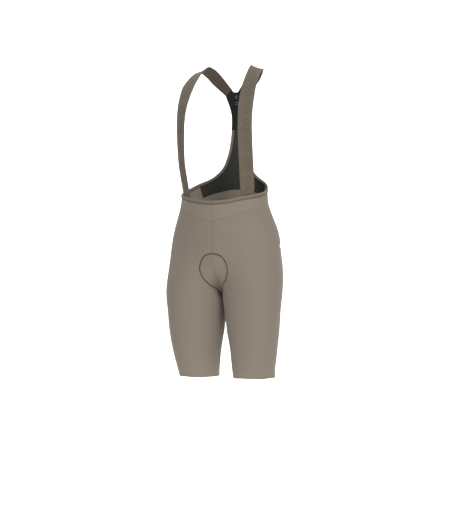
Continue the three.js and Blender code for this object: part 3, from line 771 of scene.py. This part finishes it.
def seam_distance(t, z):
    """Distance to the nearest sewn edge of a leg panel."""
    around = np.linalg.norm(body_point(t, z) - body_point(np.round(t), z), axis=-1)
    top = look_up(WAIST_SEAM, "turn", turn_of(t), "z") - z
    return np.minimum(around, top)


OUTLINE_T, OUTLINE_Z = pad_outline()


def leg_relief(points, t, z, side):
    height = relief(points, side) + seam_dip(seam_distance(t, z))
    distance, _ = nearest(points, body_point(OUTLINE_T, OUTLINE_Z))
    dome = PAD_DOME * smooth(distance / PAD_DOME_REACH) * pad_cover(t, z)
    return height - OUTLINE_DEPTH * bell(distance, OUTLINE_REACH) + dome


def pad_cover(t, z):
    """1 inside the pad's outline on the panel and 0 outside it."""
    foot = PAD_BACK["fall"][0]
    front_reach = look_up(PAD_FRONT, "fall", z, "reach") * ((z < PAD_FRONT["along"][0]) & (z > foot))
    back_reach = look_up(PAD_BACK, "fall", z, "reach") * ((z < PAD_BACK["along"][-1]) & (z > foot))
    return ((t < front_reach) | (1 - t < back_reach)).astype(float)


def leg_surface(t, z, side):
    """Places on a leg panel's outer face, with its creases and sunk seams, and the way they face."""
    points = body_point(t, z)
    normals = body_normal(t, z)
    return points + normals * leg_relief(points, t, z, side)[..., None], normals


def leg_panel(name, side):
    t = leg_columns()
    z = leg_rows(t)
    t = np.broadcast_to(t, z.shape)
    outer, normals = leg_surface(t, z, side)
    near_hem = smooth((HEM_Z + HEM_WAVE_REACH - z) / HEM_WAVE_REACH)
    outer[..., 2] += HEM_WAVE * np.sin(9 * np.pi * t + side) * near_hem
    inner = outer - normals * WALL
    clear_of_centre(outer, inner)
    # Painted shade along the sunk seams, read by the knit material.
    seam = seam_painted_shade(seam_distance(t, z))
    return side_shell(name, side, outer, inner, [shorts_cloth, inside_cloth_painted_light], seam)


leg_left = leg_panel("shorts_leg_left", 1)
leg_right = leg_panel("shorts_leg_right", -1)

# Waist panels


def torso_surface(turn, z, side, lift=0.0):
    points = torso_point(turn, z)
    normals = torso_normal(turn, z)
    return points + normals * (relief(points, side) + lift)[..., None], normals


def waist_top():
    rim_turn, rim_z = inset_from_edge(np.linspace(0, RIM_END, 130), PANEL_INSET)
    rim_turn[0] = 0
    share = np.linspace(0, 1, 15)[1:]
    side_turn = mix(rim_turn[-1], MESH_CORNER_TURN, share)
    side_z = mix(rim_z[-1], MESH_SEAM["z"][0], share)
    seam_turn = np.linspace(MESH_CORNER_TURN, 180, 62)[1:]
    seam_z = look_up(MESH_SEAM, "turn", seam_turn, "z") - HALF_GAP
    return np.concatenate([rim_turn, side_turn, seam_turn]), np.concatenate([rim_z, side_z, seam_z])


def inset_distance(turn, z):
    """Distance in from the garment's top edge, on the front and the sides."""
    edge = along(TOP_EDGE, np.linspace(0, 1, 400))
    return nearest(torso_point(turn, z), torso_point(edge["turn"], edge["z"]))[0]


def waist_panel(name, side):
    turn, top = waist_top()
    low = look_up(WAIST_SEAM, "turn", turn, "z") + HALF_GAP
    rows = [top - step for step in EDGE_STEPS]
    rows += [mix(top - EDGE_BAND, low + EDGE_BAND, share) for share in np.linspace(0, 1, 22)]
    rows += [low + step for step in EDGE_STEPS[::-1]]
    z = np.array(rows)
    turn = np.broadcast_to(turn, z.shape)
    outer, normals = torso_surface(turn, z, side)
    centre = np.minimum(turn, 180 - turn) * WAIST_PACE
    dip = seam_dip(np.minimum(centre, z - low))
    dip += np.where(turn > MESH_CORNER_TURN, seam_dip(top - z), 0)
    outer = outer + normals * dip[..., None]
    inner = outer - normals * WALL
    clear_of_centre(outer, inner)
    # Painted shade along the sunk seams.
    seam = seam_painted_shade(np.minimum(centre, z - low))
    under = inset_distance(turn, z)
    # Painted shadow in a band just below the binding.
    seam = np.maximum(seam, smooth((BINDING_WIDTH + BINDING_SHADE - under) / BINDING_SHADE_SOFT))
    return side_shell(name, side, outer, inner, [waist_cloth_painted_light, inside_cloth_painted_light], seam)


waist_left = waist_panel("shorts_waist_left", 1)
waist_right = waist_panel("shorts_waist_right", -1)

# Back: the open mesh, and the black yoke above it


def mesh_grid():
    shares = np.linspace(RIM_END, 1, 100)
    edge_turn, edge_z = inset_from_edge(shares, PANEL_INSET)
    share = np.linspace(0, 1, 14)[:-1]
    turn = np.concatenate([mix(MESH_CORNER_TURN, edge_turn[0], share) + 0.03, edge_turn])[::-1]
    z = np.concatenate([mix(MESH_SEAM["z"][0], edge_z[0], share), edge_z])[::-1]
    low = look_up(MESH_SEAM, "turn", 180, "z") + HALF_GAP
    top = BINDING_TOP_Z - 0.1
    rows = np.clip((z - z[-1]) / (top - z[-1]), 0, 1)
    centre = mix(low, top, rows**1.5)
    place = np.linspace(-1, 1, 97)
    turns = 180 - (180 - turn[:, None]) * np.abs(place)
    heights = mix(centre[:, None], np.minimum(z, top)[:, None], place**2)
    heights[-1] = look_up(MESH_SEAM, "turn", np.maximum(turns[-1], MESH_CORNER_TURN), "z") + HALF_GAP
    heights[0] = top
    return place, turns, np.minimum(heights, top)


def back_shell(name, place, turns, heights, material, wall):
    outer, normals = torso_surface(turns, heights, 0)
    inner = outer - normals * wall
    for grid in (outer, inner):
        grid[:, place > 0, 0] *= -1
        grid[:, place == 0, 0] = 0
    return shell(name, outer, inner, [material])


back_lower = back_shell("back_mesh", *mesh_grid(), back_mesh, MESH_WALL)


def upper_top(x):
    neck_x, neck_z = NECK_CORNER
    middle = mix(NECK_LOW_Z, neck_z, (x / neck_x) ** 4)
    slope = mix(neck_z, UPPER_BACK_EDGE["z"][-1], (x - neck_x) / (UPPER_BACK_EDGE["half"][-1] - neck_x))
    return np.where(x < neck_x, middle, slope)


def back_turn(x, z):
    """Turn of a place on the left of the back that lies x from the centre."""
    return 180 - np.degrees(np.arcsin(x / look_up(TORSO, "z", z, "side")))


def upper_back_grid():
    share = np.linspace(1, 0, 70)
    edge = along(UPPER_BACK_EDGE, share)
    place = np.linspace(-1, 1, 81)
    rise = upper_top(np.abs(place) * UPPER_BACK_EDGE["half"][-1]) - UPPER_BACK_EDGE["z"][-1]
    heights = edge["z"][:, None] + rise[None] * (share**2)[:, None]
    heights[0] += SEAM_LAP
    heights[-1] -= SEAM_LAP
    return place, back_turn(np.abs(place)[None] * edge["half"][:, None], heights), heights


back_upper = back_shell("back_yoke", *upper_back_grid(), black_cloth, WALL)

# Straps


def strap_frame(share):
    def at(place):
        edges = along(STRAP, np.clip(place, 0, 1))
        neck, arm = (np.stack([edges[edge + axis] for axis in "xyz"], -1) for edge in ("neck_", "arm_"))
        return neck, arm, edges["bow"]

    neck, arm, bow = at(share)
    before, after = at(share - 0.005), at(share + 0.005)
    run = after[0] + after[1] - before[0] - before[1]
    return neck, arm, bow, unit(np.cross(arm - neck, run))


def strap_surface(share, across, lift):
    share, across = np.broadcast_arrays(np.asarray(share, float), np.asarray(across, float))
    neck, arm, bow, outward = strap_frame(share)
    stand = 4 * across * (1 - across) * bow
    from_edge = np.minimum(across, 1 - across) * STRAP_WIDTH
    selvedge = SELVEDGE_RISE * bell(from_edge - SELVEDGE_IN, SELVEDGE_WIDTH)
    stand = stand + lift + np.sign(lift) * selvedge
    return mix(neck, arm, across[..., None]) + outward * stand[..., None], outward


def strap_piece(name, side):
    share = np.linspace(1, 0, 320)[:, None]
    across = np.array([0, 0.008, 0.02, 0.035, 0.055, 0.08])
    across = np.concatenate([across, np.linspace(0.11, 0.89, 15), 1 - across[::-1]])[None]
    outer, _ = strap_surface(share, across, STRAP_THICKNESS / 2)
    inner, _ = strap_surface(share, across, -STRAP_THICKNESS / 2)
    return side_shell(name, side, outer, inner, [strap_cloth, strap_back_tone_and_shade])


strap_left = strap_piece("elastic_strap_left", 1)
strap_right = strap_piece("elastic_strap_right", -1)

# Binding along the front rim, the sides and the armholes


def binding_profile(steps=15):
    """Section of a tape folded over the cloth's edge: its outer face, then its inner one."""
    angle = np.radians(np.linspace(-BINDING_FOLD, BINDING_FOLD, steps))
    inward, height = [], []
    for offset, order in ((0, 1), (TAPE, -1)):
        reach = signed_power(np.cos(angle), BINDING_POWER)[::order]
        stand = signed_power(np.sin(angle), BINDING_POWER)[::order]
        inward.append(BINDING_WIDTH / 2 - reach * (BINDING_WIDTH / 2 - offset))
        height.append((BINDING_OUT - BINDING_IN) / 2 + stand * ((BINDING_OUT + BINDING_IN) / 2 - offset))
    return np.concatenate(inward), np.concatenate(height)


def binding_rings():
    shares = np.concatenate([np.linspace(0, RIM_END, 220), np.linspace(RIM_END, 1, 170)[1:]])
    inward, height = binding_profile()
    turn, z = inset_from_edge(shares[:, None], inward[None])
    points = torso_point(turn, z)
    normals = torso_normal(turn, z)
    uneven = 1 + 0.05 * np.sin(shares * 61) * np.sin(shares * 23)
    rings = points + normals * (height[None] * uneven[:, None])[..., None]
    rings += normals * relief(points, 0)[..., None]
    rings[0, :, 0] = 0
    right = rings[:0:-1] * np.array([-1.0, 1, 1])
    return np.concatenate([right, rings])[:, ::-1]


binding = ring_tube("rim_binding", binding_rings(), [binding_cloth])

# Seat pad, padded cloth inside the crotch


def pad_piece():
    rows, columns = 130, 101
    place = np.linspace(-1, 1, columns)
    across = signed_power(place, 1.3)
    half = rows // 2
    front = along(PAD_FRONT, np.linspace(0, 1, half))
    back = along(PAD_BACK, np.linspace(0, 1, half))
    is_back = np.repeat([False, True], half)[:, None]
    middle, reach, fall = (np.concatenate([front[key], back[key]])[:, None] for key in PAD_FRONT)
    share = np.abs(across)[None]
    t = np.where(is_back, 1 - reach * share, reach * share)
    z = mix(middle, fall, share)
    points = body_point(t, z)
    normals = body_normal(t, z)
    clear = WALL + SEAM_GAP + mix(PAD_CLEARANCE, PAD_EDGE_CLEARANCE, share**4)
    clear = clear - np.minimum(relief(points, 1), 0)
    index = np.arange(rows)
    ends = np.minimum(index, rows - 1 - index)[:, None] / (PAD_END_SHARE * rows)
    crown = np.minimum(np.sqrt(np.clip(1 - share**4, 0, 1)), smooth(ends))
    channels = sum(depth * bell(share - at, width) for depth, at, width in PAD_CHANNELS)
    channels = channels * smooth(ends * 1.4)
    thick = mix(PAD_EDGE_THICKNESS, PAD_THICKNESS, crown) - channels * crown
    mirror = np.where(across < 0, -1.0, 1.0)
    grids = []
    for inward in (clear * np.ones_like(thick), clear + thick):
        grid = points - normals * inward[..., None]
        grid[..., 0] = np.where(across[None] == 0, 0, grid[..., 0] * mirror)
        grids.append(grid)
    return shell("seat_padding", grids[0], grids[1], [pad_cloth], 80)


pad = pad_piece()

# Sewing: the pad's dark outline, the flat seams and the edge stitching


def join(name, pieces):
    bpy.ops.object.select_all(action="DESELECT")
    for piece in pieces:
        piece.select_set(True)
    bpy.context.view_layer.objects.active = pieces[0]
    bpy.ops.object.join()
    pieces[0].name = name
    return pieces[0]


def band_piece(name, lines, width, lift, half_height, material):
    """A narrow low band that lies on cloth along each line."""
    bands = []
    for index, line in enumerate(lines):
        points, normals = even_path(*line, 2.0)
        rings = oval_rings(points + normals * lift, normals, width / 2, half_height, sides=10)
        bands.append(ring_tube(f"{name}_{index}", rings, [material]))
    return join(name, bands)


def zigzag_piece(name, lines, pitch, width, lift, radius, material):
    threads = []
    for index, line in enumerate(lines):
        path, facing = zigzag(*line, pitch, width, lift)
        rings = oval_rings(path, facing, radius, THREAD_FLATNESS * radius)
        threads.append(ring_tube(f"{name}_{index}", rings, [material]))
    return join(name, threads)


outline = [on_side(*leg_surface(OUTLINE_T, OUTLINE_Z, side), side) for side in SIDES]
pad_band = band_piece("pad_outline_band", outline, width=3.8, lift=0.25, half_height=0.22,
                      material=pad_thread)
pad_stitch = zigzag_piece("pad_outline_thread", outline, pitch=1.7, width=3.2, lift=0.5, radius=0.34,
                          material=pad_thread)


def waist_seam_line(side):
    """The waist seam on the inner face of the cloth."""
    turn = np.linspace(0.3, 179.7, 260)
    points, normals = torso_surface(turn, look_up(WAIST_SEAM, "turn", turn, "z"), side, -WALL)
    return on_side(points, -normals, side)


waist_lines = [waist_seam_line(side) for side in SIDES]
waist_flatlock = zigzag_piece("waist_flatlock", waist_lines, pitch=2.0, width=4.2, lift=0.35, radius=0.26,
                              material=seam_thread)


def binding_line(inward, lift, side):
    turn, z = inset_from_edge(np.linspace(0, 1, 520), inward)
    turn[0] = max(turn[0], 0.05)
    normals = torso_normal(turn, z)
    return on_side(torso_point(turn, z) + normals * lift, normals, side)


binding_lines = [binding_line(inward=7.4, lift=1.55, side=side) for side in SIDES]
binding_stitch = stitch_rows("binding_stitch", binding_lines, pitch=2.6, length=1.7, radius=0.2, lift=0.1,
                             material=seam_thread)


def strap_line(share, face, side):
    """A line across a strap on its outer (1) or inner (-1) face."""
    across = np.linspace(0.05, 0.95, 40)
    points, normals = strap_surface(np.full(40, share), across, face * STRAP_THICKNESS / 2)
    return on_side(points, normals * face, side)


STRAP_STITCH_PLACES = [(0.985, 1), (0.985, -1), (0.972, 1), (0.972, -1), (0.052, -1), (0.036, -1)]
strap_lines = [strap_line(*spot, side) for side in SIDES for spot in STRAP_STITCH_PLACES]
strap_stitch = stitch_rows("strap_stitch", strap_lines, pitch=2.4, length=1.7, radius=0.22, lift=0.08,
                           material=seam_thread)


def yoke_line(x, z):
    """Places on the yoke's inner face, x to the wearer's left, and the way they face."""
    points, normals = torso_surface(back_turn(np.abs(x), z), z, 0, -WALL)
    return on_side(points, -normals, np.where(x < 0, -1.0, 1.0))


def neck_line(drop):
    x = np.linspace(1, -1, 161) * (NECK_CORNER[0] - 1)
    return yoke_line(x, upper_top(np.abs(x)) - drop)


neck_lines = [neck_line(drop) for drop in (2.2, 4.0)]
neck_stitch = stitch_rows("neck_stitch", neck_lines, pitch=2.2, length=1.5, radius=0.18, lift=0.06,
                          material=dark_thread)


def print_patch():
    """A small plain motif inside the neck: a ring and two short bars."""
    angle = np.linspace(0, 2 * np.pi, 25)[:-1]
    (radius, ring_z), (bar_half, bar_heights) = PRINT_RING, PRINT_BARS
    bar = np.linspace(-bar_half, bar_half, 13)
    marks = [(radius * np.cos(angle), ring_z + radius * np.sin(angle))]
    marks += [(bar, np.full(len(bar), float(z))) for z in bar_heights]
    pieces = []
    for index, mark in enumerate(marks):
        points, facing = yoke_line(*mark)
        loop = index == 0
        rings = oval_rings(points + facing * 0.06, facing, 0.9, 0.05, sides=8, loop=loop)
        pieces.append(ring_tube(f"print_{index}", rings, [grey_print], closed=loop))
    return join("neck_print", pieces)


neck_print = print_patch()

# What each piece stands for and which cloth it is listed under; each is hung on the root and the imported
# part it stands for is hidden

CLOTH = [
    (leg_left, "shorts", "leg_left"), (leg_right, "shorts", "leg_right"),
    (waist_left, "waist", "waist_left"), (waist_right, "waist", "waist_right"),
    (back_lower, "mesh", "back_lower"), (back_upper, "black", "back_upper"),
    (strap_left, "strap", "strap_left"), (strap_right, "strap", "strap_right"),
    (binding, "binding", "top_binding"), (pad, "pad", "seat_pad"),
]
SEWING = [
    (pad_band, "shorts"), (pad_stitch, "shorts"), (waist_flatlock, "shorts"), (binding_stitch, "binding"),
    (strap_stitch, "strap"), (neck_stitch, "black"), (neck_print, "black"),
]
for piece, slot_name, *_ in CLOTH + SEWING:
    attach(piece, "root")
for piece, _, node in CLOTH:
    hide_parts(node)

# Studio: pale floor and curved backdrop, soft light, and the camera at the photograph's angle

VIEW_TURN = math.radians(22.5)
VIEW_DISTANCE = 4.14
VIEW_HEIGHT = -0.561
LENS = 98.2
FLOOR_Z = -1.12
BACKDROP_HALF = 2.1


def make_backdrop():
    radius, back, front, top = 1.6, 3.4, -7.0, 7.0
    bend = np.linspace(0, math.pi / 2, 24)
    profile = [(back + radius * math.sin(a), radius * (1 - math.cos(a))) for a in bend]
    profile = [(front, 0.0), *profile, (back + radius, top)]
    across = np.array([math.cos(VIEW_TURN), math.sin(VIEW_TURN)])
    away = np.array([-math.sin(VIEW_TURN), math.cos(VIEW_TURN)])
    points = []
    for distance, height in profile:
        for reach in (-BACKDROP_HALF, BACKDROP_HALF):
            spot = across * reach + away * distance
            points.append((spot[0] / MM, spot[1] / MM, (FLOOR_Z + height) / MM))
    faces = [(2 * i, 2 * i + 1, 2 * i + 3, 2 * i + 2) for i in range(len(profile) - 1)]
    nodes = Nodes("paper")
    place = nodes.add("ShaderNodeTexCoord")
    broad = nodes.add("ShaderNodeTexNoise", {"Vector": place.outputs["Object"]}, Scale=0.6)
    tone = nodes.mix(broad.outputs[0], (0.93, 0.93, 0.93), (0.95, 0.95, 0.95))
    nodes.shader.inputs["Emission Color"].default_value = (1, 1, 1, 1)
    nodes.shader.inputs["Emission Strength"].default_value = 0.2
    return make_object("backdrop", points, faces, None, [nodes.finish(tone, None, roughness=0.9, sheen=0.0)])


make_backdrop()


LIGHTS = [
    ("key", (3.5, -3.8, 2.1), (0, 0, -0.5), 1.8, 168),
    ("fill", (-0.6, -4.7, 0.5), (0, 0, -0.55), 2.4, 24),
    ("top", (0.3, -0.6, 2.4), (0, 0, 0), 1.4, 24),
    ("backdrop_left", (-3.6, 1.4, 2.6), (-1.9, 4.6, 0.2), 2.0, 170),
    ("backdrop_right", (1.2, 3.2, 2.6), (-1.6, 4.6, 0.2), 2.0, 170),
]
for light_name, location, target, size, power in LIGHTS:
    lamp = bpy.data.lights.new(light_name, "AREA")
    lamp.shape = "SQUARE"
    lamp.size = size
    lamp.energy = power
    light = bpy.data.objects.new(light_name, lamp)
    bpy.context.scene.collection.objects.link(light)
    light.location = location
    light.rotation_euler = (Vector(target) - Vector(location)).to_track_quat("-Z", "Y").to_euler()

world = bpy.data.worlds.new("studio")
bpy.context.scene.world = world
world.use_nodes = True
sky = world.node_tree.nodes["Background"].inputs
sky["Color"].default_value = (1, 1, 1, 1)
sky["Strength"].default_value = 0.2

camera_data = bpy.data.cameras.new("camera")
camera_data.sensor_fit = "VERTICAL"
camera_data.sensor_height = 36
camera_data.lens = LENS
camera_data.dof.use_dof = False
camera = bpy.data.objects.new("camera", camera_data)
bpy.context.scene.collection.objects.link(camera)
camera.location = (VIEW_DISTANCE * math.sin(VIEW_TURN), -VIEW_DISTANCE * math.cos(VIEW_TURN), VIEW_HEIGHT)
camera.rotation_euler = (math.radians(90), 0, VIEW_TURN)
bpy.context.scene.camera = camera
bpy.context.scene.view_settings.view_transform = "Standard"
